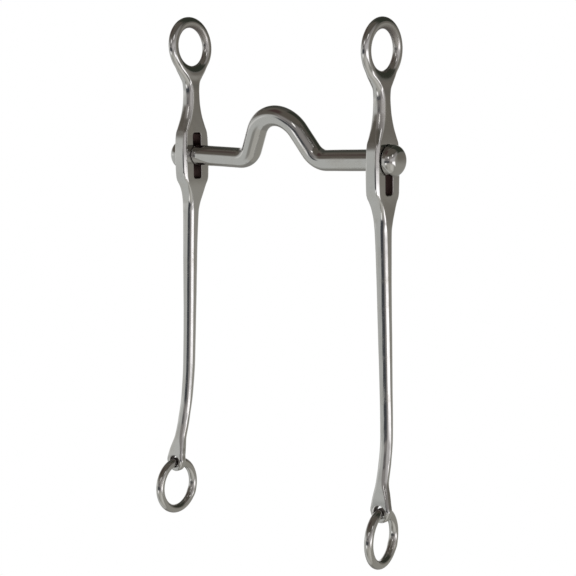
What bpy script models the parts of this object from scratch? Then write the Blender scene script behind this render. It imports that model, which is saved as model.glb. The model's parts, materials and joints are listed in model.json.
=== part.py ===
"""Curb bit with sliding cheeks.

Seven pieces: a ported mouthpiece, a domed button on each of its tenons, two slotted cheeks that slide
on the tenons, and a rein ring hanging in the eye of each cheek. Metres, +Z up. The origin is the middle
of the mouthpiece, on the axis of its tenons. +X is the right cheek, -Y the side the shanks sweep to.
"""

import math

import bmesh
import bpy
from mathutils import Matrix, Vector

MM = 0.001
GAP = 0.3 * MM

# Mouthpiece
MOUTH_WIDTH = 127.0 * MM
BAR_RADIUS = 5.6 * MM
BAR_END_RADIUS = 5.75 * MM
BAR_TAPER_START = 20.0 * MM
ARM_DROOP = math.radians(1.7)
PORT_HEIGHT = 23.6 * MM
PORT_ARCH_RADIUS = 17.0 * MM
PORT_FOOT_RADIUS = 11.0 * MM
PORT_LEG_ANGLE = math.radians(60.0)
PORT_LEAN = math.radians(15.0)
TENON_HEIGHT = 10.0 * MM
TENON_CORNER = 0.8 * MM
SPIGOT_RADIUS = 2.5 * MM
SPIGOT_LENGTH = 4.0 * MM

# Buttons
BUTTON_RADIUS = 8.3 * MM
BUTTON_HEIGHT = 8.2 * MM
BUTTON_RIM = 2.8 * MM
BUTTON_EDGE = 0.5 * MM
BUTTON_TIP_RADIUS = 0.6 * MM

# Cheeks: heights are above the middle of the slot, widths outward from the boss's inner face
BOSS_THICKNESS = 8.4 * MM
SLOT_LENGTH = 26.0 * MM
SLOT_WIDTH = 6.2 * MM
SLOT_CORNER = 1.0 * MM
LEFT_CHEEK_DROP = 0.4 * MM
RIGHT_CHEEK_DROP = 4.9 * MM
PURCHASE_RING_HEIGHT = 61.6 * MM
PURCHASE_RING_OUT = 3.9 * MM
PURCHASE_RING_RADIUS = 13.8 * MM
PURCHASE_RING_LEAN = math.radians(2.5)
PURCHASE_HOLE_BACK = 0.6 * MM
PURCHASE_WIRE_RADIAL = 3.1 * MM
PURCHASE_WIRE_ACROSS = 2.4 * MM

# Eye at the foot of each shank
EYE_HEIGHT = -179.0 * MM
EYE_OUT = 10.9 * MM
EYE_FORWARD = -11.5 * MM
EYE_RADIUS = 5.9 * MM
EYE_HALF_THICKNESS = 2.15 * MM
EYE_EDGE = 0.8 * MM
EYE_HOLE_RADIUS = 3.3 * MM

# Rein rings
REIN_RING_RADIUS = 14.1 * MM
REIN_WIRE_RADIUS = 2.45 * MM
REIN_RING_SAG = 0.35 * MM
LEFT_RING_TWIST = math.radians(1.0)
RIGHT_RING_TWIST = math.radians(8.0)

# Outlines of a cheek in millimetres, each as (height, value), smooth between its points
CHEEK_OUTWARD = (
    (48, 3.9), (38, 3.8), (12, 4.2), (-14, 4.2), (-30, 5.0), (-120, 7.7), (-150, 9.5), (-179, 10.9),
)
CHEEK_FORWARD = (
    (-9, 0), (-19, 0.3), (-32, -0.9), (-120, -2.2), (-140, -3.4), (-155, -6.1), (-168, -9.6), (-179, -11.5),
)
CHEEK_HALF_X = (
    (48, 2.45), (44, 3.2), (38, 3.8), (12, 4.2), (-14, 4.2),
    (-30, 3.95), (-140, 3.5), (-156, 3.7), (-166, 4.6), (-174, 5.6), (-179, 5.7),
)
CHEEK_HALF_Y = (
    (48, 9.4), (45, 7.4), (41, 5.4), (37, 4.8), (30, 5.0), (23, 6.6), (16, 9.0), (9, 10.3), (0, 10.7),
    (-9, 10.5), (-12.5, 10.0), (-17, 7.4), (-22, 5.7), (-28, 4.5), (-36, 4.1),
    (-60, 3.75), (-120, 3.3), (-158, 2.9), (-170, 2.2), (-179, 1.9),
)
CHEEK_CORNER = (
    (48, 2.4), (34, 2.0), (20, 1.0), (8, 0.8), (-12, 0.8), (-22, 1.4), (-34, 2.2), (-158, 2.0), (-179, 1.0),
)
CHEEK_SECTIONS = (
    48, 46.5, 45, 43, 41, 39, 37, 33.5, 30, 26.5, 23, 19.5, 16, 12, 8, 0, -8, -12, -14.5, -17, -19.5, -22,
    -25, -28, -32, -36, -48, -60, -90, -120, -130, -140, -148, -155, -162, -168, -172, -176, -179,
)

CORNER_STEPS = 3
ROUND_STEPS = 18
EYE_STEPS = 24
BAR_STEPS = 18
PURCHASE_STEPS = 36
REIN_STEPS = 34
WIRE_STEPS = 10
ARC_STEPS = 7
OVERLAP = 2.0 * MM
SHARP_ANGLE = math.radians(35.0)


def clear_scene():
    for old in list(bpy.data.objects):
        bpy.data.objects.remove(old, do_unlink=True)


def steel(name, colour, roughness):
    material = bpy.data.materials.new(name)
    material.use_nodes = True
    shader = material.node_tree.nodes["Principled BSDF"]
    shader.inputs["Base Color"].default_value = (*colour, 1.0)
    shader.inputs["Metallic"].default_value = 1.0
    shader.inputs["Roughness"].default_value = roughness
    return material


def smooth_value(points, height):
    """Monotone cubic through (height, value) points given from the top down, level beyond its ends."""
    if height >= points[0][0]:
        return points[0][1]
    if height <= points[-1][0]:
        return points[-1][1]
    slopes = [(b[1] - a[1]) / (b[0] - a[0]) for a, b in zip(points, points[1:])]
    tangents = [slopes[0]]
    for before, after in zip(slopes, slopes[1:]):
        level = before * after <= 0.0
        tangents.append(0.0 if level else 2.0 * before * after / (before + after))
    tangents.append(slopes[-1])
    i = next(k for k in range(len(slopes)) if height >= points[k + 1][0])
    (h0, v0), (h1, v1) = points[i], points[i + 1]
    span = h1 - h0
    t = (height - h0) / span
    rise = v0 * (1 + 2 * t) * (1 - t) ** 2 + v1 * t * t * (3 - 2 * t)
    bend = tangents[i] * t * (1 - t) ** 2 - tangents[i + 1] * t * t * (1 - t)
    return rise + span * bend


def rounded_rectangle(half_a, half_b, radius):
    """Corner arcs of a rectangle centred on the origin, anticlockwise, as (a, b) pairs."""
    loop = []
    for quarter, (sign_a, sign_b) in enumerate(((1, 1), (-1, 1), (-1, -1), (1, -1))):
        for step in range(CORNER_STEPS + 1):
            angle = math.pi / 2 * (quarter + step / CORNER_STEPS)
            a = sign_a * (half_a - radius) + radius * math.cos(angle)
            b = sign_b * (half_b - radius) + radius * math.sin(angle)
            loop.append((a, b))
    return loop


def circle(radius_a, radius_b, steps):
    angles = [2 * math.pi * k / steps for k in range(steps)]
    return [(radius_a * math.cos(t), radius_b * math.sin(t)) for t in angles]


def loft(loops, closed=False):
    """Quads between successive loops of 3-D points, capped at both ends unless the loft is closed."""
    mesh = bmesh.new()
    rows = [[mesh.verts.new(point) for point in loop] for loop in loops]
    count = len(rows[0])
    pairs = list(zip(rows, rows[1:]))
    if closed:
        pairs.append((rows[-1], rows[0]))
    for low, high in pairs:
        for k in range(count):
            after = (k + 1) % count
            mesh.faces.new((low[k], low[after], high[after], high[k]))
    if not closed:
        mesh.faces.new(rows[0])
        mesh.faces.new(rows[-1])
    bmesh.ops.recalc_face_normals(mesh, faces=mesh.faces)
    return mesh


def turned(profile, steps):
    """Solid of revolution about Z from an open (radius, height) profile, flat at both ends."""
    loops = []
    for radius, height in profile:
        loops.append([Vector((a, b, height)) for a, b in circle(radius, radius, steps)])
    return loft(loops)


def torus(ring_radius, wire_radial, wire_across, ring_steps, hole_back=0.0):
    """Ring in the YZ plane about the origin, its wire an ellipse.

    The outer rim is a circle about the origin. The hole lies hole_back towards +Y of it, which makes
    the wire wider in front than behind.
    """
    loops = []
    for k in range(ring_steps):
        angle = 2 * math.pi * k / ring_steps
        outward = Vector((0, math.sin(angle), math.cos(angle)))
        radial = wire_radial - hole_back / 2 * math.sin(angle)
        middle = ring_radius + wire_radial - radial
        wire = circle(radial, wire_across, WIRE_STEPS)
        loops.append([outward * (middle + a) + Vector((b, 0, 0)) for a, b in wire])
    return loft(loops, closed=True)


def place(mesh, matrix):
    bmesh.ops.transform(mesh, matrix=matrix, verts=mesh.verts)
    bmesh.ops.recalc_face_normals(mesh, faces=mesh.faces)
    return mesh


def add_object(name, mesh, location, material=None, twist=0.0):
    data = bpy.data.meshes.new(name)
    mesh.to_mesh(data)
    mesh.free()
    data.shade_smooth()
    data.set_sharp_from_angle(angle=SHARP_ANGLE)
    item = bpy.data.objects.new(name, data)
    bpy.context.collection.objects.link(item)
    item.location = location
    item.rotation_euler.z = twist
    if material:
        data.materials.append(material)
    return item


def combine(target, mesh, operation):
    """Adds a hidden helper, child of the target, and a Boolean modifier that uses it."""
    index = len(target.modifiers)
    helper = add_object(f"{target.name}_{operation.lower()}_{index}", mesh, (0, 0, 0))
    helper.parent = target
    helper.hide_render = True
    helper.display_type = "WIRE"
    boolean = target.modifiers.new(helper.name, "BOOLEAN")
    boolean.operation = operation
    boolean.solver = "EXACT"
    boolean.object = helper


def outward_turn(side):
    """Turns a solid made about +Z so that its top points out of the side's cheek."""
    return Matrix.Rotation(side * math.pi / 2, 4, "Y")


def bar_centreline():
    """Half of the bar, middle to end, as (across, height, tangent angle) in the port's leaning plane."""
    centre_height = PORT_HEIGHT - PORT_ARCH_RADIUS
    points = []
    for step in range(ARC_STEPS + 1):
        angle = PORT_LEG_ANGLE * step / ARC_STEPS
        across = PORT_ARCH_RADIUS * math.sin(angle)
        points.append((across, centre_height + PORT_ARCH_RADIUS * math.cos(angle), -angle))
    turn = PORT_LEG_ANGLE + ARM_DROOP
    foot = []
    for step in range(ARC_STEPS + 1):
        angle = turn * step / ARC_STEPS - PORT_LEG_ANGLE
        across = PORT_FOOT_RADIUS * (math.sin(PORT_LEG_ANGLE) + math.sin(angle))
        height = PORT_FOOT_RADIUS * (math.cos(PORT_LEG_ANGLE) - math.cos(angle))
        foot.append((across, height, angle))
    # The straight leg is as long as brings the arm's line to the tenon's axis at the cheek
    leg_x, leg_z = points[-1][:2]
    arm_slope = math.tan(ARM_DROOP)
    shortfall = leg_z + foot[-1][1] + arm_slope * (MOUTH_WIDTH / 2 - leg_x - foot[-1][0])
    leg = shortfall / (math.sin(PORT_LEG_ANGLE) + arm_slope * math.cos(PORT_LEG_ANGLE))
    start_x = leg_x + leg * math.cos(PORT_LEG_ANGLE)
    start_z = leg_z - leg * math.sin(PORT_LEG_ANGLE)
    points += [(start_x + across, start_z + height, angle) for across, height, angle in foot]
    shoulder = MOUTH_WIDTH / 2 - GAP
    points.append((shoulder - OVERLAP, -arm_slope * OVERLAP, ARM_DROOP))
    points.append((shoulder, 0.0, 0.0))
    return points


def bar_radius(across):
    share = (across - BAR_TAPER_START) / (MOUTH_WIDTH / 2 - BAR_TAPER_START)
    return BAR_RADIUS + (BAR_END_RADIUS - BAR_RADIUS) * min(max(share, 0.0), 1.0)


def bar_mesh():
    right = bar_centreline()
    left = [(-across, height, -angle) for across, height, angle in reversed(right[1:])]
    upward = Vector((0, -math.sin(PORT_LEAN), math.cos(PORT_LEAN)))
    sideways = Vector((0, math.cos(PORT_LEAN), math.sin(PORT_LEAN)))
    loops = []
    for across, height, angle in left + right:
        centre = Vector((across, 0, 0)) + upward * height
        normal = upward * math.cos(angle) - Vector((math.sin(angle), 0, 0))
        radius = bar_radius(abs(across))
        loops.append([centre + normal * a + sideways * b for a, b in circle(radius, radius, BAR_STEPS)])
    return loft(loops)


def tenon_mesh(side):
    start = MOUTH_WIDTH / 2 - GAP - OVERLAP
    end = MOUTH_WIDTH / 2 + BOSS_THICKNESS
    half_depth = SLOT_WIDTH / 2 - GAP
    section = rounded_rectangle(half_depth, TENON_HEIGHT / 2, TENON_CORNER)
    return loft([[Vector((side * x, a, b)) for a, b in section] for x in (start, end)])


def spigot_mesh(side):
    start = MOUTH_WIDTH / 2 + BOSS_THICKNESS - OVERLAP
    end = MOUTH_WIDTH / 2 + BOSS_THICKNESS + GAP + SPIGOT_LENGTH
    return place(turned([(SPIGOT_RADIUS, start), (SPIGOT_RADIUS, end)], ROUND_STEPS), outward_turn(side))


def make_mouthpiece():
    mouthpiece = add_object("mouthpiece", bar_mesh(), (0, 0, 0), steel("bar_steel", (0.56, 0.55, 0.53), 0.16))
    for side in (-1, 1):
        combine(mouthpiece, tenon_mesh(side), "UNION")
        combine(mouthpiece, spigot_mesh(side), "UNION")


def make_button(name, side):
    """Flat back, short rim and dome, with a blind socket for the spigot."""
    socket = SPIGOT_RADIUS + GAP
    depth = SPIGOT_LENGTH + GAP
    dome_rise = BUTTON_HEIGHT - BUTTON_RIM
    profile = [(BUTTON_RADIUS - BUTTON_EDGE, 0.0), (BUTTON_RADIUS, BUTTON_EDGE)]
    for step in range(ARC_STEPS):
        angle = math.pi / 2 * step / ARC_STEPS
        profile.append((BUTTON_RADIUS * math.cos(angle), BUTTON_RIM + dome_rise * math.sin(angle)))
    profile.append((BUTTON_TIP_RADIUS, BUTTON_HEIGHT))
    back = side * (MOUTH_WIDTH / 2 + BOSS_THICKNESS + GAP)
    solid = place(turned(profile, ROUND_STEPS), outward_turn(side))
    button = add_object(name, solid, (back, 0, 0), steel(name + "_steel", (0.58, 0.56, 0.54), 0.12))
    cutter = place(turned([(socket, -OVERLAP), (socket, depth)], ROUND_STEPS), outward_turn(side))
    combine(button, cutter, "DIFFERENCE")


def cheek_mesh(side):
    loops = []
    for height in CHEEK_SECTIONS:
        outward = side * smooth_value(CHEEK_OUTWARD, height)
        forward = smooth_value(CHEEK_FORWARD, height)
        half_x = smooth_value(CHEEK_HALF_X, height)
        half_y = smooth_value(CHEEK_HALF_Y, height)
        section = rounded_rectangle(half_x, half_y, smooth_value(CHEEK_CORNER, height))
        loops.append([Vector((outward + a, forward + b, height)) * MM for a, b in section])
    return loft(loops)


def eye_mesh():
    """Disc facing +-Y with rounded rims."""
    profile = []
    for sign in (-1, 1):
        for step in range(CORNER_STEPS + 1):
            angle = math.pi / 2 * (step / CORNER_STEPS if sign > 0 else 1 - step / CORNER_STEPS)
            radius = EYE_RADIUS - EYE_EDGE * (1 - math.cos(angle))
            profile.append((radius, sign * (EYE_HALF_THICKNESS - EYE_EDGE * (1 - math.sin(angle)))))
    return turned(profile, EYE_STEPS)


def make_cheek(name, side, drop):
    location = Vector((side * MOUTH_WIDTH / 2, 0, -drop))
    cheek = add_object(name, cheek_mesh(side), location, steel(name + "_steel", (0.60, 0.59, 0.56), 0.14))
    ring = torus(
        PURCHASE_RING_RADIUS, PURCHASE_WIRE_RADIAL, PURCHASE_WIRE_ACROSS, PURCHASE_STEPS, PURCHASE_HOLE_BACK
    )
    ring_place = Matrix.Translation((side * PURCHASE_RING_OUT, 0, PURCHASE_RING_HEIGHT))
    ring_place @= Matrix.Rotation(side * PURCHASE_RING_LEAN, 4, "Y")
    combine(cheek, place(ring, ring_place), "UNION")
    eye_place = Matrix.Translation((side * EYE_OUT, EYE_FORWARD, EYE_HEIGHT))
    eye_place @= Matrix.Rotation(math.pi / 2, 4, "X")
    combine(cheek, place(eye_mesh(), eye_place), "UNION")
    hole_reach = 2 * EYE_HALF_THICKNESS
    hole = turned([(EYE_HOLE_RADIUS, -hole_reach), (EYE_HOLE_RADIUS, hole_reach)], ROUND_STEPS)
    combine(cheek, place(hole, eye_place), "DIFFERENCE")
    slot = rounded_rectangle(SLOT_WIDTH / 2, SLOT_LENGTH / 2, SLOT_CORNER)
    reach = (-OVERLAP, BOSS_THICKNESS + OVERLAP)
    slot_loops = [[Vector((side * x, a, b)) for a, b in slot] for x in reach]
    combine(cheek, loft(slot_loops), "DIFFERENCE")
    return location


def make_rein_ring(name, side, cheek_location, twist):
    """Its origin is in the eye, on the axis that it swings about."""
    ring = torus(REIN_RING_RADIUS, REIN_WIRE_RADIUS, REIN_WIRE_RADIUS, REIN_STEPS)
    place(ring, Matrix.Translation((0, 0, -REIN_RING_RADIUS)))
    hang = cheek_location + Vector((side * EYE_OUT, EYE_FORWARD, EYE_HEIGHT - REIN_RING_SAG))
    add_object(name, ring, hang, steel(name + "_steel", (0.52, 0.51, 0.49), 0.18), twist)


def main():
    clear_scene()
    make_mouthpiece()
    make_button("left_button", -1)
    make_button("right_button", 1)
    left_place = make_cheek("left_cheek", -1, LEFT_CHEEK_DROP)
    right_place = make_cheek("right_cheek", 1, RIGHT_CHEEK_DROP)
    make_rein_ring("left_rein_ring", -1, left_place, LEFT_RING_TWIST)
    make_rein_ring("right_rein_ring", 1, right_place, RIGHT_RING_TWIST)


main()
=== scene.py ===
import json
import math

import bmesh
import bpy
import numpy as np
from mathutils import Matrix, Vector


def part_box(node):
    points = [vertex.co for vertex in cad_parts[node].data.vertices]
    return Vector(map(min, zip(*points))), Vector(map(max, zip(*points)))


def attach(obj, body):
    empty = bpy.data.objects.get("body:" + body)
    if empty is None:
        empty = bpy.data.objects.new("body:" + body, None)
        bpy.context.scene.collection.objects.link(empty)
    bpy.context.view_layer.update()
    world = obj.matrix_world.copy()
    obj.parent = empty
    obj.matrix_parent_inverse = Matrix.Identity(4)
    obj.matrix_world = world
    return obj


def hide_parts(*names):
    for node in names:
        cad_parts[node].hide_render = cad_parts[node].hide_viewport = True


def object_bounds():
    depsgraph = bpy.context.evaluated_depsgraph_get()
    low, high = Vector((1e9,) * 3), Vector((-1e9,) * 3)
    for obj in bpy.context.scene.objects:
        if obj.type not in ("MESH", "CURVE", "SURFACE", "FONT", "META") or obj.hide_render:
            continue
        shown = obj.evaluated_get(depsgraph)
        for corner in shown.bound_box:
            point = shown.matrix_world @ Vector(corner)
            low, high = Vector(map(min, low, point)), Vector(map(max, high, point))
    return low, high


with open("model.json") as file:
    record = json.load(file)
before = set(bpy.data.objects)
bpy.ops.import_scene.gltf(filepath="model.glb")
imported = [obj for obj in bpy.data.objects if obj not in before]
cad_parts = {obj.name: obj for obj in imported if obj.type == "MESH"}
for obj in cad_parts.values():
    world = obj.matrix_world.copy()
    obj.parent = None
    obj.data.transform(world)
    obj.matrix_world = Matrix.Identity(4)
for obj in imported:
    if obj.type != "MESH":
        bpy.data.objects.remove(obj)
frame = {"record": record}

CAD_BOX = [list(corner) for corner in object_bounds()]

MM = 0.001

# Camera, about the point it looks at. Its azimuth is from straight in front towards the right cheek.
CAMERA_AZIMUTH = math.radians(39.57)
CAMERA_ELEVATION = math.radians(7.85)
CAMERA_ROLL = math.radians(-0.66)
CAMERA_DISTANCE = 0.829
CAMERA_TARGET = Vector((0.0029, 0.0, -0.0719))
CAMERA_LENS = 93.8

# All shapes below are in millimetres. Heights on a cheek are above the middle of its slot, and x runs
# outward from the boss's inner face.
HALF_MOUTH = 63.5
GAP = 0.3
BOSS_THICKNESS = 8.4
SLOT_HALF_LENGTH = 13.0
SLOT_HALF_WIDTH = 3.1

BAR_RADIUS = 5.6
BAR_END_RADIUS = 5.75
BAR_TAPER_START = 20.0
ARM_DROOP = math.radians(1.7)
PORT_HEIGHT = 23.6
PORT_ARCH_RADIUS = 17.0
PORT_FOOT_RADIUS = 11.0
PORT_LEG_ANGLE = math.radians(60.0)
PORT_LEAN = math.radians(15.0)

BUTTON_RADIUS = 8.3
BUTTON_HEIGHT = 7.2
BUTTON_FRONT_EDGE = 4.6
BUTTON_BACK_EDGE = 0.8
BUTTON_FACE_RADIUS = 26.0
SOCKET_LIP = 0.3

REIN_RING_RADIUS = 14.1
REIN_WIRE_RADIUS = 2.45
WELD_TURN = math.radians(118.0)
WELD_SWELL = 0.16
WELD_LENGTH = 2.2
WIRE_UNEVENNESS = 0.03

# Each cheek below its ring is a run of rounded rectangles. These are points of (height, value) for the
# rectangle's middle outward and forward, its half sizes, and the radius of its corners.
CHEEK_OUTWARD = (
    (48, 3.9), (38, 3.8), (12, 4.2), (-14, 4.2), (-30, 5.0), (-120, 7.7), (-150, 9.2), (-163, 9.6),
    (-172, 10.45), (-179, 10.9),
)
CHEEK_FORWARD = (
    (-9, 0), (-19, 0.3), (-32, -0.9), (-120, -2.2), (-140, -3.4), (-155, -6.1), (-168, -9.6), (-179, -11.5),
)
CHEEK_HALF_X = (
    (49, 2.1), (45, 2.75), (41, 3.4), (37, 3.75), (12, 4.2), (-14, 4.2),
    (-30, 3.95), (-140, 3.4), (-156, 3.5), (-163, 3.5), (-170, 4.6), (-175, 5.5), (-179, 5.7),
)
CHEEK_HALF_Y = (
    (49, 9.6), (45, 7.4), (41, 5.5), (36, 4.85), (30, 5.15), (26, 5.85), (22, 6.95), (18, 8.25), (14, 9.4),
    (9, 10.3), (0, 10.7), (-9, 10.5), (-12.5, 10.0), (-17, 7.4), (-22, 5.7), (-28, 4.5), (-36, 4.1),
    (-60, 3.75), (-120, 3.3), (-158, 2.9), (-170, 2.4), (-179, 2.1),
)
CHEEK_CORNER = (
    (49, 2.0), (45, 2.6), (41, 3.2), (37, 3.5), (30, 3.6), (22, 3.7), (16, 2.8), (12, 1.3), (8, 0.85),
    (-12, 0.8), (-20, 1.6), (-34, 2.7), (-90, 2.85), (-115, 2.85), (-156, 2.85),
    (-165, 2.3), (-172, 1.4), (-179, 1.2),
)
# How deep the bevel along the edges of the boss and the shank cuts. Below zero it misses the edge.
CHEEK_BEVEL = (
    (20, -1.2), (13, 0.75), (9, 0.9), (-9, 0.9), (-13, 0.7), (-20, -0.8), (-32, 1.02), (-150, 1.06),
    (-168, -0.8),
)
# The bevel faces this far round from forward to outward
BEVEL_TURN = math.radians(62.0)


# ---------------------------------------------------------------- distance fields

# Size of the grid cells that the surfaces are found in
CELL = 0.5
# Newton steps that slide each point onto its surface, the reach of the slopes they use, and the least
# squared slope that a step is divided by
SETTLE_STEPS = 4
SLOPE_REACH = 0.02
LEAST_SLOPE = 0.05

# What hand polishing leaves: the depth of each wave, how fast it runs along x, y and z, and how much of the
# phase shifts it
FINISH_WAVES = (
    (0.030, (0.0, 0.20, 0.11), 1.0),
    (0.010, (-0.30, 0.0, 0.31), 1.7),
    (0.003, (-0.6, 0.80, 0.95), 2.3),
)


def smooth_values(points, height):
    """Monotone cubic through (height, value) points, level beyond its ends, for an array of heights."""
    knots = np.array(sorted(points), float)
    h, v = knots[:, 0], knots[:, 1]
    slopes = np.diff(v) / np.diff(h)
    inner = np.zeros(len(h) - 2)
    same = slopes[:-1] * slopes[1:] > 0
    inner[same] = 2 * (slopes[:-1] * slopes[1:])[same] / (slopes[:-1] + slopes[1:])[same]
    tangents = np.concatenate([[0.0], inner, [0.0]])
    at = np.clip(height, h[0], h[-1])
    i = np.clip(np.searchsorted(h, at, side="right") - 1, 0, len(h) - 2)
    span = h[i + 1] - h[i]
    t = (at - h[i]) / span
    rise = v[i] * (1 + 2 * t) * (1 - t) ** 2 + v[i + 1] * t * t * (3 - 2 * t)
    return rise + span * (tangents[i] * t * (1 - t) ** 2 - tangents[i + 1] * t * t * (1 - t))


def join(a, b, blend):
    """Union of two fields with a fillet."""
    reach = np.maximum(blend - np.abs(a - b), 0.0) / blend
    return np.minimum(a, b) - reach * reach * blend / 4


def cut(a, tool, blend):
    """Field a less the tool, with a rounded edge."""
    return -join(-a, tool, blend)


def rounded_box(a, b, half_a, half_b, radius):
    """Distance to a rectangle with round corners, in two coordinates."""
    qa = np.abs(a) - (half_a - radius)
    qb = np.abs(b) - (half_b - radius)
    outside = np.hypot(np.maximum(qa, 0.0), np.maximum(qb, 0.0))
    return outside + np.minimum(np.maximum(qa, qb), 0.0) - radius


def fade(value, full, none):
    """1 up to the value called full, falling to 0 at the one called none."""
    return np.clip((none - value) / (none - full), 0.0, 1.0)


def hand_finish(x, y, z, phase):
    """The slight unevenness that hand polishing leaves, a few hundredths of a millimetre deep."""
    return sum(
        depth * np.sin(a * x + b * y + c * z + share * phase) for depth, (a, b, c), share in FINISH_WAVES
    )


def solid(name, field, painted_shade, low, high, side, location):
    """Closed quad mesh where a field in millimetres is zero, as a Blender object in metres.

    Surface nets put one point in each grid cell that the surface crosses. The points then slide onto
    the field's own surface, and the normals are the field's gradient. side is -1 to mirror x. The mesh
    keeps the painted-shade function, how much shade its material paints on, as an attribute.
    """
    low = np.array(low, float)
    counts = np.ceil((np.array(high, float) - low) / CELL).astype(int) + 1
    axes = [low[k] + CELL * np.arange(counts[k]) for k in range(3)]
    values = np.asarray(field(*np.meshgrid(*axes, indexing="ij", sparse=True)))
    cells = tuple(counts - 1)

    def corner(i, j, k):
        return values[i:i + cells[0], j:j + cells[1], k:k + cells[2]]

    total = np.zeros(cells + (3,))
    crossings = np.zeros(cells)
    for axis in range(3):
        for across in ((0, 0), (0, 1), (1, 0), (1, 1)):
            start = list(across)
            start.insert(axis, 0)
            end = list(start)
            end[axis] = 1
            a, b = corner(*start), corner(*end)
            crosses = (a < 0) != (b < 0)
            share = np.where(crosses, a / np.where(crosses, a - b, 1.0), 0.0)
            for k in range(3):
                total[..., k] += crosses * (share if k == axis else start[k])
            crossings += crosses
    active = crossings > 0
    index = np.full(cells, -1)
    index[active] = np.arange(active.sum())
    where = np.argwhere(active)
    points = low + CELL * (where + total[active] / crossings[active][:, None])

    inside = values < 0
    quads = []
    for axis in range(3):
        u, v = (axis + 1) % 3, (axis + 2) % 3
        ahead = np.diff(inside.astype(np.int8), axis=axis)
        spots = np.argwhere(ahead != 0)
        within = (spots[:, u] > 0) & (spots[:, v] > 0) & (spots[:, u] < cells[u]) & (spots[:, v] < cells[v])
        spots = spots[within]
        corners = []
        for du, dv in ((0, 0), (1, 0), (1, 1), (0, 1)):
            at = spots.copy()
            at[:, u] -= du
            at[:, v] -= dv
            corners.append(index[tuple(at.T)])
        quad = np.stack(corners, 1)
        leaving = ahead[tuple(spots.T)] < 0
        quads.append(np.where(leaving[:, None], quad, quad[:, ::-1]))
    quads = np.concatenate(quads)

    def gradient(p):
        parts = []
        for k in range(3):
            ahead, behind = p.copy(), p.copy()
            ahead[:, k] += SLOPE_REACH
            behind[:, k] -= SLOPE_REACH
            parts.append((field(*ahead.T) - field(*behind.T)) / (2 * SLOPE_REACH))
        return np.stack(parts, 1)

    for _ in range(SETTLE_STEPS):
        slope = gradient(points)
        points -= (field(*points.T) / np.maximum((slope ** 2).sum(1), LEAST_SLOPE))[:, None] * slope
    normals = gradient(points)
    normals /= np.linalg.norm(normals, axis=1)[:, None]

    # How much shade, or dark reflection, the material paints on at each point
    shade = painted_shade(*points.T)
    mirror = np.array((side, 1.0, 1.0))
    points = points * mirror * MM + np.array(location)
    normals = normals * mirror
    if side < 0:
        quads = quads[:, ::-1]
    data = bpy.data.meshes.new(name)
    data.from_pydata(points.tolist(), [], quads.tolist())
    data.shade_smooth()
    data.normals_split_custom_set_from_vertices(normals.tolist())
    data.attributes.new("painted_shade", "FLOAT", "POINT").data.foreach_set("value", shade.astype(np.float32))
    item = bpy.data.objects.new(name, data)
    bpy.context.scene.collection.objects.link(item)
    return item


# ---------------------------------------------------------------- cheeks

RING_HEIGHT = 61.6
RING_OUT = 3.9
RING_OUTER_RADIUS = 16.9
RING_HOLE_RADIUS = 10.7
RING_HOLE_BACK = 0.3
RING_HOLE_POINT = 0.3
RING_HOLE_POINT_TURN = 0.32
RING_LEAN = math.radians(2.5)
RING_HALF_THICKNESS = 2.4
RING_LEAST_HALF_WIDTH = 0.5
STEM_TOP = 48.0
EYE_HEIGHT = -179.0
EYE_OUT = 10.9
EYE_RADIUS = 5.9
EYE_HOLE_RADIUS = 3.3
SLOT_CORNER = 1.4

# How far each rounded edge or fillet reaches
STEM_FOOT_EDGE = 1.0
EYE_FILLET = 1.5
BEVEL_EDGE = 0.35
STEM_TOP_EDGE = 5.0
RING_FILLET = 4.6
EYE_HOLE_EDGE = 0.9
SLOT_EDGE = 0.3

# Corners of the space that holds a cheek
CHEEK_REACH = ((-1.5, -18.0, -187.0), (19.0, 18.0, 81.0))
# How strongly shade is painted inside the eye, and a dark reflection inside the top of the ring
EYE_PAINTED_SHADE = 0.75
RING_PAINTED_REFLECTION = 0.6


def purchase_ring(x, y, z):
    """Ring with a flattened oval wire, wider in front than behind. Its top leans outward."""
    dx, dz = x - RING_OUT, z - RING_HEIGHT
    across = dx * math.cos(RING_LEAN) - dz * math.sin(RING_LEAN)
    up = dz * math.cos(RING_LEAN) + dx * math.sin(RING_LEAN)
    outer = RING_OUTER_RADIUS - np.hypot(y, up)
    below = np.arctan2(y - RING_HOLE_BACK, -up)
    hole = RING_HOLE_RADIUS + RING_HOLE_POINT * np.exp(-((below / RING_HOLE_POINT_TURN) ** 2))
    inner = np.hypot(y - RING_HOLE_BACK, up) - hole
    half = np.maximum((outer + inner) / 2, RING_LEAST_HALF_WIDTH)
    return (np.hypot((outer - inner) / 2 / half, across / RING_HALF_THICKNESS) - 1.0) * RING_HALF_THICKNESS


def cheek_field(phase):
    """Field of one cheek. The phase makes the two cheeks' hand finish differ."""
    def field(x, y, z):
        half_x = smooth_values(CHEEK_HALF_X, z)
        half_y = smooth_values(CHEEK_HALF_Y, z)
        corner = smooth_values(CHEEK_CORNER, z)
        out = np.abs(x - smooth_values(CHEEK_OUTWARD, z))
        side = np.abs(y - smooth_values(CHEEK_FORWARD, z))
        from_eye = np.hypot(x - EYE_OUT, z - EYE_HEIGHT)
        outline = cut(out - half_x, z - EYE_HEIGHT, STEM_FOOT_EDGE)
        outline = join(outline, from_eye - EYE_RADIUS, EYE_FILLET)
        past_outline = outline + corner
        past_side = side - half_y + corner
        stem = np.hypot(np.maximum(past_outline, 0.0), np.maximum(past_side, 0.0))
        stem = stem + np.minimum(np.maximum(past_outline, past_side), 0.0) - corner
        bevel = (out - half_x) * math.sin(BEVEL_TURN) + (side - half_y) * math.cos(BEVEL_TURN)
        stem = cut(stem, -(bevel + smooth_values(CHEEK_BEVEL, z)), BEVEL_EDGE)
        stem = cut(stem, STEM_TOP - z, STEM_TOP_EDGE)
        body = join(stem, purchase_ring(x, y, z), RING_FILLET)
        body = cut(body, from_eye - EYE_HOLE_RADIUS, EYE_HOLE_EDGE)
        body = cut(body, slot_field(y, z), SLOT_EDGE)
        return body + hand_finish(x, y, z, phase)
    return field


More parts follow.
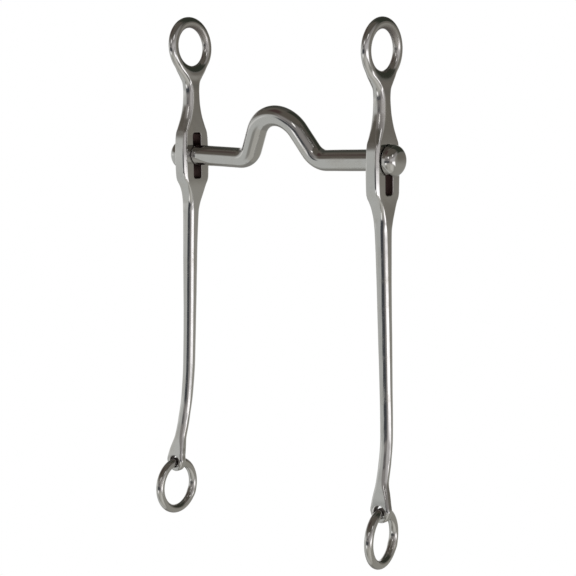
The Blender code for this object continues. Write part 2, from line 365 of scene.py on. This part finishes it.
def slot_field(y, z):
    return rounded_box(y, z, SLOT_HALF_WIDTH, SLOT_HALF_LENGTH, SLOT_CORNER)


def cheek_painted_shade(x, y, z):
    """Painted shade: 1 on the walls of the slot and less in the eye, and a painted dark reflection inside
    the ring.
    """
    past_faces = np.maximum(-x, x - BOSS_THICKNESS)
    walls = fade(slot_field(y, z), 0.05, 0.3) * fade(past_faces, -0.15, 0.35)
    # Painted shade in the eye hole and a painted dark reflection inside the top of the ring
    from_eye = np.hypot(x - EYE_OUT, z - EYE_HEIGHT)
    eye = EYE_PAINTED_SHADE * fade(from_eye - EYE_HOLE_RADIUS, 0.05, 0.35)
    from_ring = np.hypot(y - RING_HOLE_BACK, z - RING_HEIGHT)
    ring = RING_PAINTED_REFLECTION * fade(from_ring - RING_HOLE_RADIUS, 0.6, 2.6) * fade(RING_HEIGHT - z, -8.0, 1.0)
    return np.maximum(np.maximum(walls, eye), ring)


def make_cheek(node, side, body, material):
    low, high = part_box(node)
    inner_face = high[0] if side < 0 else low[0]
    eye_bottom = (EYE_HEIGHT - EYE_RADIUS) * MM
    location = (inner_face, 0.0, low[2] - eye_bottom)
    cheek = solid(node + "_forging", cheek_field(1.0 + side), cheek_painted_shade, *CHEEK_REACH, side, location)
    return finish_piece(cheek, node, body, material)


# ---------------------------------------------------------------- mouthpiece

SHOULDER = HALF_MOUTH - GAP
TENON_HALF_HEIGHT = 5.0
TENON_HALF_DEPTH = SLOT_HALF_WIDTH - GAP
SPIGOT_RADIUS = 2.5
TENON_CORNER = 0.8
SPIGOT_LENGTH = 4.0
TENON_END = HALF_MOUTH + BOSS_THICKNESS
SPIGOT_END = TENON_END + GAP + SPIGOT_LENGTH
# How far the tenon runs on inside the bar, and the straight arm past its end
TENON_ROOT = 3.0
ARM_RUN = 60.0

BAR_END_EDGE = 0.9
SPIGOT_FILLET = 0.3
TENON_FILLET = 0.5
MOUTHPIECE_PHASE = 0.4
# Corners of the space that holds the mouthpiece
MOUTHPIECE_REACH = ((-78.0, -15.0, -8.0), (78.0, 8.0, 31.0))


def arc_distance(s, h, centre, radius, start, end):
    """Distance to an arc in a plane. Its angles run clockwise from straight up."""
    ds, dh = s - centre[0], h - centre[1]
    angle = np.clip(np.arctan2(ds, dh), start, end)
    return np.hypot(ds - radius * np.sin(angle), dh - radius * np.cos(angle))


def line_distance(s, h, start, end):
    along = np.array(end) - np.array(start)
    share = np.clip(((s - start[0]) * along[0] + (h - start[1]) * along[1]) / (along @ along), 0.0, 1.0)
    return np.hypot(s - start[0] - share * along[0], h - start[1] - share * along[1])


def bar_centreline(s, h):
    """Distance from the bar's centre line in its own plane: half an arch, a leg, a foot and an arm."""
    sin_leg, cos_leg = math.sin(PORT_LEG_ANGLE), math.cos(PORT_LEG_ANGLE)
    slope = math.tan(ARM_DROOP)
    top = (0.0, PORT_HEIGHT - PORT_ARCH_RADIUS)
    leg_top = (PORT_ARCH_RADIUS * sin_leg, top[1] + PORT_ARCH_RADIUS * cos_leg)
    foot_run = PORT_FOOT_RADIUS * (sin_leg + math.sin(ARM_DROOP))
    foot_fall = PORT_FOOT_RADIUS * (cos_leg - math.cos(ARM_DROOP))
    # The leg is as long as brings the arm to the height of the cheeks' slots
    shortfall = leg_top[1] + foot_fall + slope * (HALF_MOUTH - leg_top[0] - foot_run)
    leg = shortfall / (sin_leg + slope * cos_leg)
    foot_top = (leg_top[0] + leg * cos_leg, leg_top[1] - leg * sin_leg)
    foot_centre = (foot_top[0] + PORT_FOOT_RADIUS * sin_leg, foot_top[1] + PORT_FOOT_RADIUS * cos_leg)
    foot_end = (foot_top[0] + foot_run, foot_top[1] + foot_fall)
    arm_end = (foot_end[0] + ARM_RUN, foot_end[1] + ARM_RUN * slope)
    arch = arc_distance(s, h, top, PORT_ARCH_RADIUS, 0.0, PORT_LEG_ANGLE)
    # The foot bends the other way, below its centre
    foot_s, foot_h = foot_centre[0] - s, foot_centre[1] - h
    foot = arc_distance(foot_s, foot_h, (0.0, 0.0), PORT_FOOT_RADIUS, -ARM_DROOP, PORT_LEG_ANGLE)
    near_leg = np.minimum(arch, line_distance(s, h, leg_top, foot_top))
    return np.minimum(np.minimum(near_leg, foot), line_distance(s, h, foot_end, arm_end))


def mouthpiece_field(x, y, z):
    """Field of the bar with its leaning port, a tenon at each end, and a spigot on each tenon."""
    s = np.abs(x)
    h = z * math.cos(PORT_LEAN) - y * math.sin(PORT_LEAN)
    off = y * math.cos(PORT_LEAN) + z * math.sin(PORT_LEAN)
    share = np.clip((s - BAR_TAPER_START) / (HALF_MOUTH - BAR_TAPER_START), 0.0, 1.0)
    bar = np.hypot(bar_centreline(s, h), off) - (BAR_RADIUS + (BAR_END_RADIUS - BAR_RADIUS) * share)
    bar = cut(bar, SHOULDER - s, BAR_END_EDGE)
    tenon = rounded_box(y, z, TENON_HALF_DEPTH, TENON_HALF_HEIGHT, TENON_CORNER)
    tenon = np.maximum(np.maximum(tenon, s - TENON_END), SHOULDER - TENON_ROOT - s)
    spigot = np.maximum(np.hypot(y, z) - SPIGOT_RADIUS, s - SPIGOT_END)
    spigot = np.maximum(spigot, SHOULDER - s)
    body = join(bar, join(tenon, spigot, SPIGOT_FILLET), TENON_FILLET)
    return body + hand_finish(z, y, x, MOUTHPIECE_PHASE)


def mouthpiece_painted_shade(x, y, z):
    """Painted shade: 1 on the tenons, inside the slots, and fading out over the bar's end."""
    return fade(SHOULDER - np.abs(x), -0.7, 0.9)


def make_mouthpiece(material):
    low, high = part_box("mouthpiece")
    middle = ((low[0] + high[0]) / 2, 0.0, 0.0)
    bar = solid("mouthpiece_bar", mouthpiece_field, mouthpiece_painted_shade, *MOUTHPIECE_REACH, 1, middle)
    return finish_piece(bar, "mouthpiece", "mouthpiece", material)


# ---------------------------------------------------------------- buttons and rein rings

BUTTON_STEPS = 96
RING_STEPS = 180
WIRE_STEPS = 40


def grid_mesh(name, rows, closed):
    """Quads over rows of points. Each row is a closed loop. A row of one point is a pole."""
    mesh = bmesh.new()
    loops = [[mesh.verts.new(point) for point in row] for row in rows]
    pairs = list(zip(loops, loops[1:]))
    if closed:
        pairs.append((loops[-1], loops[0]))
    for a, b in pairs:
        count = max(len(a), len(b))
        for k in range(count):
            after = (k + 1) % count
            corners = [a[k % len(a)], a[after % len(a)], b[after % len(b)], b[k % len(b)]]
            mesh.faces.new(list(dict.fromkeys(corners)))
    bmesh.ops.recalc_face_normals(mesh, faces=mesh.faces)
    data = bpy.data.meshes.new(name)
    mesh.to_mesh(data)
    mesh.free()
    data.shade_smooth()
    item = bpy.data.objects.new(name, data)
    bpy.context.scene.collection.objects.link(item)
    return item


def arc_points(centre, radius, start, end, steps):
    angles = [start + (end - start) * k / steps for k in range(steps + 1)]
    return [(centre[0] + radius * math.cos(t), centre[1] + radius * math.sin(t)) for t in angles]


def button_profile():
    """Points of (radius, height) from the socket's bottom round the back and up to the top of the dome."""
    socket, depth, edge = SPIGOT_RADIUS + GAP, SPIGOT_LENGTH + GAP, BUTTON_BACK_EDGE
    quarter = math.pi / 2
    profile = [(0.0, depth), (socket * 0.5, depth), (socket, depth)]
    profile += [(socket, depth - 0.25), (socket, depth / 2), (socket, 0.25)]
    profile += arc_points((socket + SOCKET_LIP, SOCKET_LIP), SOCKET_LIP, 2 * quarter, 3 * quarter, 4)
    profile += [(socket + 1.0, 0.0), (BUTTON_RADIUS - edge - 1.0, 0.0), (BUTTON_RADIUS - edge - 0.2, 0.0)]
    profile += arc_points((BUTTON_RADIUS - edge, edge), edge, -quarter, 0.0, 8)
    # The rounded front edge runs tangent into the slightly domed face
    round_centre = BUTTON_RADIUS - BUTTON_FRONT_EDGE
    face_turn = math.acos(round_centre / (BUTTON_FACE_RADIUS - BUTTON_FRONT_EDGE))
    face_centre = BUTTON_HEIGHT - BUTTON_FACE_RADIUS
    round_height = face_centre + (BUTTON_FACE_RADIUS - BUTTON_FRONT_EDGE) * math.sin(face_turn)
    profile += arc_points((round_centre, round_height), BUTTON_FRONT_EDGE, 0.0, face_turn, 24)
    profile += arc_points((0.0, face_centre), BUTTON_FACE_RADIUS, face_turn, quarter, 16)[1:-1]
    profile.append((0.0, BUTTON_HEIGHT))
    return profile


def make_button(node, side, material):
    """Domed cap with a rounded back edge, a short rim and a blind socket for the spigot."""
    low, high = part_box(node)
    back = low[0] if side > 0 else high[0]
    rows = []
    for radius, height in button_profile():
        count = BUTTON_STEPS if radius > 0 else 1
        turns = [2 * math.pi * k / count for k in range(count)]
        rows.append([Vector((height, radius * math.cos(turn), radius * math.sin(turn))) for turn in turns])
    button = grid_mesh(node + "_dome", rows, closed=False)
    button.data.transform(Matrix.Translation((back, 0.0, 0.0)) @ Matrix.Diagonal((side * MM, MM, MM, 1.0)))
    if side < 0:
        button.data.flip_normals()
    return finish_piece(button, node, "mouthpiece", material)


def make_rein_ring(node, joint, material):
    """Round wire ring that hangs from its joint in the eye, with a dressed weld."""
    record = next(j for j in frame["record"]["behaviour"]["joints"] if j["name"] == joint)
    pivot = Vector(record["pos_m"])
    axis = Vector(record["axis"])
    up = Vector((0.0, 0.0, 1.0))
    across = axis.cross(up)
    top_to_centre = up * REIN_RING_RADIUS
    rows = []
    for k in range(RING_STEPS):
        angle = 2 * math.pi * k / RING_STEPS
        outward = up * math.cos(angle) + axis * math.sin(angle)
        from_weld = (angle - WELD_TURN) * REIN_RING_RADIUS
        swell = WELD_SWELL * math.exp(-((from_weld / WELD_LENGTH) ** 2))
        row = []
        for j in range(WIRE_STEPS):
            turn = 2 * math.pi * j / WIRE_STEPS
            radius = REIN_WIRE_RADIUS + swell + WIRE_UNEVENNESS * math.sin(2 * turn + 3 * angle)
            in_plane = outward * (REIN_RING_RADIUS + radius * math.cos(turn))
            point = in_plane + across * radius * math.sin(turn) - top_to_centre
            row.append(point * MM + pivot)
        rows.append(row)
    ring = grid_mesh(node + "_wire", rows, closed=True)
    return finish_piece(ring, node, record["child"], material)


# ---------------------------------------------------------------- pieces in the frame

def finish_piece(item, node, body, material):
    item.data.materials.append(material)
    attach(item, body)
    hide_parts(node)
    return item


# ---------------------------------------------------------------- materials

# Noise scales per metre: handling marks, haze, pits, and the soft waves of the surface
MARK_SCALE = 75.0
HAZE_SCALE = 16.0
PIT_SCALE = 1500.0
WAVE_SCALE = 180.0
# Two families of hairline scratches: their stretch, their direction, and the noise level where they start
SCRATCHES = (
    ((2600.0, 60.0, 900.0), (0.3, 0.9, 0.2), 0.72),
    ((70.0, 2400.0, 1000.0), (0.8, 0.2, 1.1), 0.73),
)
SCRATCH_EDGE = 0.06
# Noise levels between which pits, dull marks, and the patches that hold scratches come in
PIT_LEVELS = (0.77, 0.83)
MARK_LEVELS = (0.45, 0.72)
SCRATCHED_LEVELS = (0.42, 0.62)
# Shares of the marks and the haze in the wear, and what scratches and recesses add to the roughness
MARK_WEAR, HAZE_WEAR = 0.6, 0.4
WEAR_LEVELS = (0.1, 0.9)
SCRATCH_ROUGHNESS = 0.08
RECESS_ROUGHNESS = 0.4
# How warm the dull marks turn, and how high the polishing lines and deep the scratches are beside a pit
MARK_WARMTH = 0.5
LINE_HEIGHT = 0.5
SCRATCH_HEIGHT = 0.6
# Depths of the bumps in metres, and how strongly they show
FINE_DEPTH, FINE_STRENGTH = 0.00003, 0.04
WAVE_DEPTH, WAVE_STRENGTH = 0.00004, 0.07
WARM_TINT = (0.94, 0.91, 0.86)
PIT_COLOUR = (0.12, 0.11, 0.10, 1.0)
# Colour of the painted shade in the slots, the eye, on the tenons and at the bar's ends, and of the painted
# dark reflection inside the top of each ring
PAINTED_SHADE_COLOUR = (0.085, 0.052, 0.050, 1.0)


class Graph:
    """A node tree, with short calls that add a node and link its inputs."""

    def __init__(self, tree):
        self.tree = tree

    def add(self, kind, inputs=(), **settings):
        node = self.tree.nodes.new(kind)
        for key, value in settings.items():
            setattr(node, key, value)
        for key, value in dict(inputs).items():
            if isinstance(value, bpy.types.NodeSocket):
                self.tree.links.new(value, node.inputs[key])
            else:
                node.inputs[key].default_value = value
        return node

    def noise(self, vector, scale, detail=2.0, roughness=0.5):
        inputs = {"Vector": vector, "Scale": scale, "Detail": detail, "Roughness": roughness}
        return self.add("ShaderNodeTexNoise", inputs).outputs["Fac"]

    def ramp(self, value, start, end, low=0.0, high=1.0):
        inputs = {"Value": value, "From Min": start, "From Max": end, "To Min": low, "To Max": high}
        return self.add("ShaderNodeMapRange", inputs, interpolation_type="SMOOTHSTEP").outputs["Result"]

    def maths(self, operation, a, b):
        return self.add("ShaderNodeMath", {0: a, 1: b}, operation=operation).outputs[0]

    def dot(self, vector, way):
        inputs = {0: vector, 1: tuple(way)}
        return self.add("ShaderNodeVectorMath", inputs, operation="DOT_PRODUCT").outputs["Value"]

    def stretched(self, vector, scale, turn=(0.0, 0.0, 0.0)):
        inputs = {"Vector": vector, "Scale": scale, "Rotation": turn}
        return self.add("ShaderNodeMapping", inputs).outputs["Vector"]

    def mix(self, share, a, b):
        node = self.add("ShaderNodeMix", {"Factor": share}, data_type="RGBA")
        for socket, value in ((node.inputs[6], a), (node.inputs[7], b)):
            if isinstance(value, bpy.types.NodeSocket):
                self.tree.links.new(value, socket)
            else:
                socket.default_value = value
        return node.outputs[2]

    def bump(self, height, distance, strength, normal=None):
        inputs = {"Height": height, "Distance": distance, "Strength": strength}
        if normal:
            inputs["Normal"] = normal
        return self.add("ShaderNodeBump", inputs).outputs["Normal"]


def polished_steel(name, colour, smooth, worn, grain, seed):
    """Hand-polished stainless steel: fine polishing lines along the grain, hairline scratches, pits and
    dull handling marks, with painted shade and a painted dark reflection where the mesh's attribute asks
    for them."""
    material = bpy.data.materials.new(name)
    material.use_nodes = True
    tree = material.node_tree
    tree.nodes.clear()
    g = Graph(tree)
    where = g.add("ShaderNodeTexCoord").outputs["Object"]
    where = g.add("ShaderNodeVectorMath", {0: where, 1: (seed, seed, seed)}, operation="ADD").outputs[0]
    haze = g.noise(where, HAZE_SCALE)
    lines = g.noise(g.stretched(where, grain), 1.0, 3.0, 0.6)
    pits = g.ramp(g.noise(where, PIT_SCALE, 1.0), *PIT_LEVELS)
    dull = g.ramp(g.noise(where, MARK_SCALE, 4.0, 0.62), *MARK_LEVELS)
    # Mask of painted shade and painted dark reflection, stored on the mesh
    painted_shade = g.add("ShaderNodeAttribute", attribute_name="painted_shade").outputs["Fac"]
    hairlines = 0.0
    for stretch, turn, start in SCRATCHES:
        scratch = g.noise(g.stretched(where, stretch, turn), 1.0, 1.0)
        hairlines = g.maths("ADD", hairlines, g.ramp(scratch, start, start + SCRATCH_EDGE))
    hairlines = g.maths("MULTIPLY", hairlines, g.ramp(haze, *SCRATCHED_LEVELS))

    wear = g.maths("ADD", g.maths("MULTIPLY", dull, MARK_WEAR), g.maths("MULTIPLY", haze, HAZE_WEAR))
    rough = g.ramp(wear, *WEAR_LEVELS, smooth, worn)
    rough = g.maths("ADD", rough, g.maths("MULTIPLY", hairlines, SCRATCH_ROUGHNESS))
    rough = g.maths("ADD", rough, g.maths("MULTIPLY", painted_shade, RECESS_ROUGHNESS))

    warm = tuple(part * tint for part, tint in zip(colour, WARM_TINT))
    base = g.mix(g.maths("MULTIPLY", dull, MARK_WARMTH), (*colour, 1.0), (*warm, 1.0))
    base = g.mix(pits, base, PIT_COLOUR)
    # Painted shade and painted dark reflection over the steel's colour
    base = g.mix(painted_shade, base, PAINTED_SHADE_COLOUR)

    height = g.maths("SUBTRACT", g.maths("MULTIPLY", lines, LINE_HEIGHT), pits)
    height = g.maths("SUBTRACT", height, g.maths("MULTIPLY", hairlines, SCRATCH_HEIGHT))
    fine = g.bump(height, FINE_DEPTH, FINE_STRENGTH)
    normal = g.bump(g.noise(where, WAVE_SCALE, 1.0), WAVE_DEPTH, WAVE_STRENGTH, fine)
    inputs = {"Base Color": base, "Roughness": rough, "Normal": normal, "Metallic": 1.0, "IOR": 2.5}
    shader = g.add("ShaderNodeBsdfPrincipled", inputs)
    output = g.add("ShaderNodeOutputMaterial")
    tree.links.new(shader.outputs["BSDF"], output.inputs["Surface"])
    return material


# ---------------------------------------------------------------- stage, light and camera

def camera_axes():
    """Unit vectors to the camera, to the picture's right and to its top, before the roll."""
    flat = math.cos(CAMERA_ELEVATION)
    back = Vector((
        math.sin(CAMERA_AZIMUTH) * flat, -math.cos(CAMERA_AZIMUTH) * flat, math.sin(CAMERA_ELEVATION)
    ))
    right = Vector((0.0, 0.0, 1.0)).cross(back).normalized()
    return back, right, back.cross(right)


def level_axes():
    """Level unit vectors to the picture's right and towards the camera."""
    back, right, _ = camera_axes()
    return right, Vector((back.x, back.y, 0.0)).normalized()


def make_camera():
    back, right, up = camera_axes()
    data = bpy.data.cameras.new("camera")
    data.lens = CAMERA_LENS
    data.sensor_width = 36.0
    data.clip_start = 0.05
    camera = bpy.data.objects.new("camera", data)
    turn = Matrix((right, up, back)).transposed().to_4x4() @ Matrix.Rotation(CAMERA_ROLL, 4, "Z")
    camera.matrix_world = Matrix.Translation(CAMERA_TARGET + back * CAMERA_DISTANCE) @ turn
    bpy.context.scene.collection.objects.link(camera)
    bpy.context.scene.camera = camera


# The room that the steel reflects. Directions are in degrees, to the picture's right of the camera and up.
# What lies behind the bit is a list of (up, colour).
ROOM = (
    (-90, (0.30, 0.295, 0.275)), (-24, (0.30, 0.295, 0.275)), (-12, (0.85, 0.85, 0.84)),
    (6, (0.85, 0.85, 0.84)), (20, (0.22, 0.20, 0.18)), (34, (0.065, 0.07, 0.06)), (90, (0.12, 0.11, 0.095)),
)
# Each patch on top of it is (left, right, softness, bottom, top, softness, colour)
PATCHES = (
    # Left wall, its dim top and a bright strip along it
    (-140, -20, 14, -100, 12, 8, (0.63, 0.64, 0.62)),
    (-140, -20, 14, 14, 100, 10, (0.15, 0.135, 0.115)),
    (-126, -84, 5, -5, 3, 3, (0.88, 0.88, 0.86)),
    # Front floor, with a light and a dark stretch
    (-66, 58, 10, -100, -16, 6, (0.56, 0.55, 0.51)),
    (8, 46, 14, -60, -20, 9, (0.74, 0.73, 0.69)),
    (-74, -42, 9, -54, -30, 8, (0.34, 0.335, 0.31)),
    # Front wall and its dim top
    (-66, 84, 8, -16, 30, 8, (0.34, 0.32, 0.31)),
    (-66, 84, 8, 34, 100, 12, (0.14, 0.125, 0.105)),
    # Right wall, darker towards its top
    (66, 150, 9, -100, 10, 6, (0.39, 0.38, 0.345)),
    (88, 150, 8, -4, 10, 6, (0.215, 0.20, 0.175)),
    (88, 150, 8, 9, 100, 6, (0.045, 0.05, 0.038)),
    # Dark reddish spot high at the left
    (-104, -58, 10, 38, 66, 8, (0.085, 0.055, 0.052)),
    # Glow of the bright window, the window, and the low streak at the left
    (6, 72, 8, -3, 12, 5, (0.64, 0.62, 0.62)),
    (36, 76, 7, -15, -4, 4, (2.1, 2.06, 2.1)),
    (-64, -42, 6, -23, -13, 4, (1.6, 1.6, 1.6)),
    # Dark furniture at the left of the camera
    (-72, -4, 4, -13, 0, 2, (0.075, 0.08, 0.09)),
    (-56, -20, 6, 6, 10, 2, (0.10, 0.10, 0.11)),
)


def make_world():
    right, level_back = level_axes()
    world = bpy.data.worlds.new("studio")
    world.use_nodes = True
    tree = world.node_tree
    tree.nodes.clear()
    g = Graph(tree)
    direction = g.add("ShaderNodeTexCoord").outputs["Generated"]
    height = g.add("ShaderNodeSeparateXYZ", {0: direction}).outputs["Z"]
    to_right, to_camera = (g.dot(direction, way) for way in (right, level_back))
    turn = g.maths("DEGREES", g.maths("ARCTAN2", to_right, to_camera), 0.0)
    rise = g.maths("DEGREES", g.maths("ARCSINE", height, 0.0), 0.0)

    def between(value, start, end, soft):
        begins, ends = g.ramp(value, start - soft, start + soft), g.ramp(value, end + soft, end - soft)
        return g.maths("MULTIPLY", begins, ends)

    colour = (*ROOM[0][1], 1.0)
    for (low, _), (high, shade) in zip(ROOM, ROOM[1:]):
        colour = g.mix(g.ramp(rise, low, high), colour, (*shade, 1.0))
    for start, end, side_soft, low, high, soft, shade in PATCHES:
        share = g.maths("MULTIPLY", between(turn, start, end, side_soft), between(rise, low, high, soft))
        colour = g.mix(share, colour, (*shade, 1.0))
    background = g.add("ShaderNodeBackground", {"Color": colour, "Strength": 1.0})
    output = g.add("ShaderNodeOutputWorld")
    tree.links.new(background.outputs[0], output.inputs["Surface"])
    bpy.context.scene.world = world


STAGE_RADIUS = 6.0
FLOOR_GAP = 0.002


def make_stage():
    """Pale floor a little below the rein rings and a pale dome round it, seen only by the camera."""
    floor, dome = bmesh.new(), bmesh.new()
    bmesh.ops.create_circle(floor, cap_ends=True, radius=STAGE_RADIUS, segments=96)
    bmesh.ops.create_uvsphere(dome, u_segments=48, v_segments=24, radius=STAGE_RADIUS)
    material = bpy.data.materials.new("pale_paper")
    material.use_nodes = True
    tree = material.node_tree
    tree.nodes.clear()
    g = Graph(tree)
    glow = g.add("ShaderNodeEmission", {"Color": (1.0, 1.0, 1.0, 1.0), "Strength": 1.0})
    output = g.add("ShaderNodeOutputMaterial")
    tree.links.new(glow.outputs[0], output.inputs["Surface"])
    for name, mesh in (("floor", floor), ("backdrop", dome)):
        data = bpy.data.meshes.new(name)
        mesh.to_mesh(data)
        mesh.free()
        data.materials.append(material)
        item = bpy.data.objects.new(name, data)
        item.location = (0.0, 0.0, CAD_BOX[0][2] - FLOOR_GAP)
        bpy.context.scene.collection.objects.link(item)
        item.visible_glossy = False
        item.visible_diffuse = False
        item.visible_shadow = False


LAMP_DISTANCE = 2.0
LAMP_SIZE = 0.42
# Each lamp is (degrees to the right of the camera, degrees up, watts)
LAMPS = ((-18.0, 22.0, 0.6), (38.0, 27.0, 0.5))


def make_lamps():
    right, level_back = level_axes()
    for k, (turn, rise, power) in enumerate(LAMPS):
        data = bpy.data.lights.new(f"lamp_{k}", "AREA")
        data.shape = "DISK"
        data.size = LAMP_SIZE
        data.energy = power
        lamp = bpy.data.objects.new(f"lamp_{k}", data)
        turn, rise = math.radians(turn), math.radians(rise)
        level = right * math.sin(turn) + level_back * math.cos(turn)
        axis = level * math.cos(rise) + Vector((0.0, 0.0, math.sin(rise)))
        facing = axis.to_track_quat("Z", "Y").to_matrix().to_4x4()
        lamp.matrix_world = Matrix.Translation(axis * LAMP_DISTANCE) @ facing
        bpy.context.scene.collection.objects.link(lamp)


# ---------------------------------------------------------------- the bit

# How finely the polishing lines repeat along x, y and z, per metre
ALONG_SHANK = (1500.0, 1500.0, 45.0)
ALONG_BAR = (45.0, 1500.0, 1500.0)
EVEN = (900.0, 900.0, 900.0)

STEEL = (0.58, 0.575, 0.565)
RING_STEEL = (0.56, 0.555, 0.54)

# The last four values are the roughness where it is smooth and where it is worn, the grain and the seed
bar_steel = polished_steel("bar_steel", STEEL, 0.10, 0.24, ALONG_BAR, 0.0)
button_steel = polished_steel("button_steel", STEEL, 0.07, 0.16, EVEN, 1.3)
cheek_steel = polished_steel("cheek_steel", STEEL, 0.09, 0.22, ALONG_SHANK, 2.1)
ring_steel = polished_steel("ring_steel", RING_STEEL, 0.10, 0.24, EVEN, 3.7)
make_mouthpiece(bar_steel)
make_button("left_button", -1, button_steel)
make_button("right_button", 1, button_steel)
make_cheek("left_cheek", -1, "left_cheek", cheek_steel)
make_cheek("right_cheek", 1, "right_cheek", cheek_steel)
make_rein_ring("left_rein_ring", "left_ring_swing", ring_steel)
make_rein_ring("right_rein_ring", "right_ring_swing", ring_steel)

make_camera()
make_world()
make_stage()
make_lamps()
bpy.context.scene.view_settings.view_transform = "Standard"
